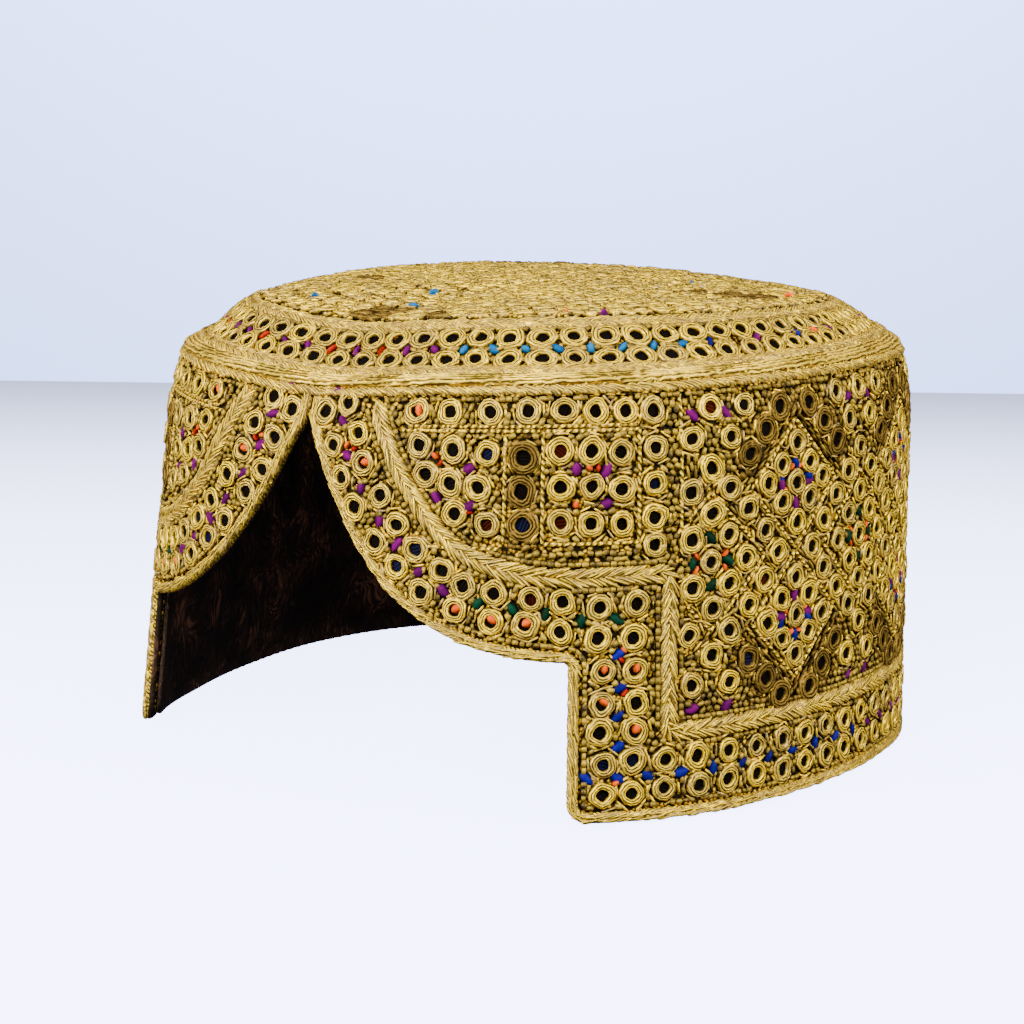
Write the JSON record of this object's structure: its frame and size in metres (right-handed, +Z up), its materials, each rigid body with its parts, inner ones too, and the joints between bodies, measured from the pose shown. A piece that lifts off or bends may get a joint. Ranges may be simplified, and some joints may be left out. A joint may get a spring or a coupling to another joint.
{
  "type": "sindhi cap",
  "caption": "Round stiff embroidered cap with a low flat crown, an arched cut-out at the front, gold thread rings, plaited braids, piped edges and a dark lining.",
  "frame": {"origin": "middle of the cap's bounding box on the plane that the hem rests on", "axes": "+Z up toward the crown, the arched cut-out faces -Y, +X to the right of a viewer who faces the cut-out"},
  "size_m": [0.1934, 0.189, 0.1128],
  "materials": {
    "wall_cloth": "embroidered with gold thread rings",
    "crown_cloth": "embroidered with gold thread",
    "lining_cloth": "dark woven cloth",
    "piping_thread": "twisted gold thread",
    "braid_thread": "plaited gold thread"
  },
  "bodies": {
    "root": {"side_wall": "wall_cloth", "crown": "crown_cloth", "lining": "lining_cloth", "rim_piping": "piping_thread", "frame_braid": "braid_thread", "side_top_braid": "braid_thread", "crown_braid": "braid_thread", "inner_crown_braid": "braid_thread"}
  },
  "joints": []
}
